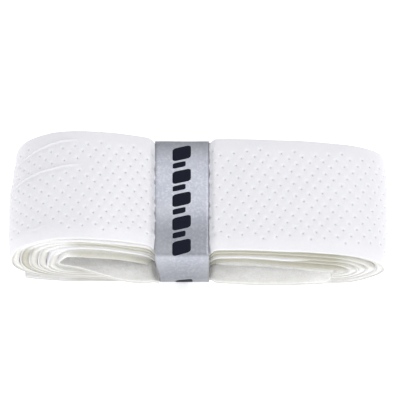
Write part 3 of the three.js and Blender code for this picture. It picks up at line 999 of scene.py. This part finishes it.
# The print on the band: slanted bars in place of lettering. Each entry is a bar's share of the motif's
# width and its length along the band, with the same gap after each.
WIDE_BAR, NARROW_BAR, END_BAR = (1.0, 3.4), (0.7, 1.5), (1.0, 3.6)
BARS = (END_BAR, NARROW_BAR) + (WIDE_BAR, NARROW_BAR) * 3 + (END_BAR,)
BAR_GAP = 0.7
PRINT_REPEAT = 39.6
MOTIF_WIDTH = 4.7
MOTIF_MIDDLE = (BAND_LEFT + BAND_RIGHT) / 2 - 0.1
MOTIF_TOP = 13.8  # the motif's far end, across the tape
BAR_SLANT = 0.55
BAR_SHIFT = 0.45  # a narrow bar stands this share of what it lacks to the left
BAR_ROUND = 0.28  # how much of a bar its round corners take away
BAR_LIFTS = (0.02, 0.004)  # a bar's top and bottom above the band
BAR_ROWS, BAR_COLUMNS = 19, 9


def bar(band, p, x, long, share):
    """The points of one printed bar, its top and then its bottom, lying on the band."""
    a, b = np.meshgrid(np.linspace(-1, 1, BAR_COLUMNS), np.linspace(-1, 1, BAR_ROWS))
    a, b = a.ravel(), b.ravel()
    across = a * np.sqrt(1 - BAR_ROUND * b**8 * a**2 / 2)
    along = b * np.sqrt(1 - BAR_ROUND * a**8)
    v = p + along * long / 2 - BAR_SLANT * share * across
    u = x + across * share * MOTIF_WIDTH / 2
    return np.concatenate([band.place(v, u, BAND_THICK + lift) for lift in BAR_LIFTS])


def band_print(band, material):
    """The printed bars, twice along the band."""
    points, faces = [], []
    for start in (0, PRINT_REPEAT):
        p = band.top_place(MOTIF_TOP) + start
        for share, long in BARS:
            x = MOTIF_MIDDLE - (1 - share) * MOTIF_WIDTH * BAR_SHIFT
            offset = sum(len(group) for group in points)
            points.append(bar(band, p + long / 2, x, long, share))
            faces += [tuple(i + offset for i in face) for face in plate_faces(BAR_ROWS, BAR_COLUMNS)]
            p += long + BAR_GAP
    add_piece("belly_band_print", np.concatenate(points), faces, material, "band")


def glue_piece(material):
    """The glue between the band's lapped ends, with its outer face first."""
    rows = np.linspace(LAP_START + 0.5, LAP_START + LAP - 0.5, 6)
    columns = np.linspace(BAND_LEFT + 1, BAND_RIGHT - 1, 6)
    inner_y = BAND_SIDE + BAND_THICK + LAYER_GAP
    points = [(x, y, z) for y in (inner_y + GLUE_THICK, inner_y) for z in rows for x in columns]
    faces = plate_faces(len(rows), len(columns))
    piece = add_piece("band_glue_patch", points, faces, material, "band")
    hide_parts("band_glue")


# ---- The finishing tape in the core ----

STRAP_PITCH = 0.3
STRAP_CORE = 1.1
STRAP_WRAPS = 3
STRAP_THICK = 0.15
LINER_THICK = 0.06
strap_low, strap_high = box_mm("finishing_tape")
STRAP_REACH = STRAP_PITCH * (STRAP_WRAPS - 1) + STRAP_PITCH / 2
STRAP_LEFT_REACH = (STRAP_PITCH + STRAP_CORE) / 2
STRAP_RIGHT_REACH = STRAP_PITCH + STRAP_CORE / 2


def finishing_tape_pieces(tape_material, liner_material):
    """A short coil of finishing tape, with its release paper on its inner face."""
    left = strap_low[0] + STRAP_REACH + STRAP_LEFT_REACH
    right = strap_high[0] - STRAP_REACH - STRAP_RIGHT_REACH
    path = WoundPath(
        STRAP_WRAPS, STRAP_PITCH, strap_low[2],
        ends=(left, right), reaches=(STRAP_LEFT_REACH, STRAP_RIGHT_REACH),
        strip_ends=(left - 1, right - 2), step=1.5, spacing=STRAP_PITCH, turn_steps=14,
        core=lambda x: STRAP_CORE,
    )
    strap = Tape(path, soft=False)
    columns = np.linspace(strap_low[1], strap_high[1], 9)
    layers = (
        ("finishing_tape_strip", "finishing_tape", "finishing_tape", tape_material, STRAP_THICK),
        ("finishing_tape_release_paper", "finishing_tape_liner", "liner", liner_material, LINER_THICK),
    )
    outer, rests_on = STRAP_PITCH / 2, ["grip_backing"]
    for name, node, slot, material, thick in layers:
        looks = (name, node, "finishing_tape", slot, material)
        piece = thin_layer(*looks, strap, path.s, columns, outer, thick, rests_on)
        outer, rests_on = outer - thick - LAYER_GAP, [piece]


# ---- Camera, light and floor ----

CAMERA_ELEVATION = math.radians(68)
CAMERA_DISTANCE = 1.1
FRAME_WIDTH = 0.1021  # how much of the roll's length the camera takes in
CAMERA_TARGET = Vector((0.0005, 0.0028, 0.012))
LIGHTS_AIM = Vector((0, 0, 0.01))
FLOOR_REACH = 1.6
FLOOR_LEVEL = -0.00005
# The sky is darker towards this direction: all round it within these angles, the outer and the inner.
DARKER_SKY = Vector((0, -0.22, 1))
DARKER_ANGLES = (42, 8)
SKY_LEVELS = (0.94, 0.43)


def add_camera():
    data = bpy.data.cameras.new("camera")
    data.sensor_width = 36
    data.lens = data.sensor_width * CAMERA_DISTANCE / FRAME_WIDTH
    data.clip_start = 0.01
    camera = add_object("camera", data)
    away = Vector((0, -math.cos(CAMERA_ELEVATION), math.sin(CAMERA_ELEVATION)))
    camera.location = CAMERA_TARGET + away * CAMERA_DISTANCE
    camera.rotation_euler = (math.pi / 2 - CAMERA_ELEVATION, 0, 0)
    scene.camera = camera


def add_softbox(name, place, size, watts, shiny=True):
    data = bpy.data.lights.new(name, "AREA")
    data.shape = "RECTANGLE"
    data.size, data.size_y = size
    data.energy = watts
    light = add_object(name, data)
    light.location = place
    light.rotation_euler = (LIGHTS_AIM - Vector(place)).to_track_quat("-Z", "Y").to_euler()
    light.visible_glossy = shiny


def add_studio():
    mesh = bpy.data.meshes.new("floor")
    corners = [(-1, -1), (1, -1), (1, 1), (-1, 1)]
    corners = [(x * FLOOR_REACH, y * FLOOR_REACH, FLOOR_LEVEL) for x, y in corners]
    mesh.from_pydata(corners, [], [(0, 1, 2, 3)])
    mesh.materials.append(floor_material())
    add_object("floor", mesh)
    add_softbox("key_light", (0.6, 0.1, 0.9), (0.6, 0.6), 2.4)
    add_softbox("front_light", (-0.15, -0.98, 0.5), (1.2, 0.5), 4.4, shiny=False)
    sky = Nodes("studio", bpy.data.worlds, "Background")
    towards = sky.add("ShaderNodeVectorMath", {"operation": "DOT_PRODUCT"})
    sky.put(towards.inputs[0], sky.place("Generated"))
    sky.put(towards.inputs[1], DARKER_SKY.normalized())
    edge, middle = [math.cos(math.radians(angle)) for angle in DARKER_ANGLES]
    sky.surface(Strength=sky.ramp(towards.outputs["Value"], edge, middle, *SKY_LEVELS))
    sky.surface(Color=(0.98, 0.985, 1.0, 1))
    scene.world = sky.owner
    scene.view_settings.view_transform = "Standard"


# ---- Making it ----

add_camera()
add_studio()

skin_pieces(skin_material())
felt_pieces(felt_material())
adhesive = coating_material("pale_adhesive", (0.62, 0.56, 0.4, 1), (0.72, 0.67, 0.52, 1), 0.45, 700)
film = coating_material("release_film_white", (0.82, 0.83, 0.81, 1), (0.9, 0.905, 0.89, 1), 0.2, 300)
adhesive_and_film(adhesive, film)

band = Band()
band_piece(band, band_material())
band_print(band, ink_material())
glue_piece(adhesive)

strap_vinyl = coating_material("dark_vinyl", (0.02, 0.021, 0.025, 1), (0.03, 0.032, 0.038, 1), 0.35, 900)
strap_paper = coating_material("release_paper", (0.72, 0.67, 0.56, 1), (0.8, 0.76, 0.66, 1), 0.7, 1200)
finishing_tape_pieces(strap_vinyl, strap_paper)
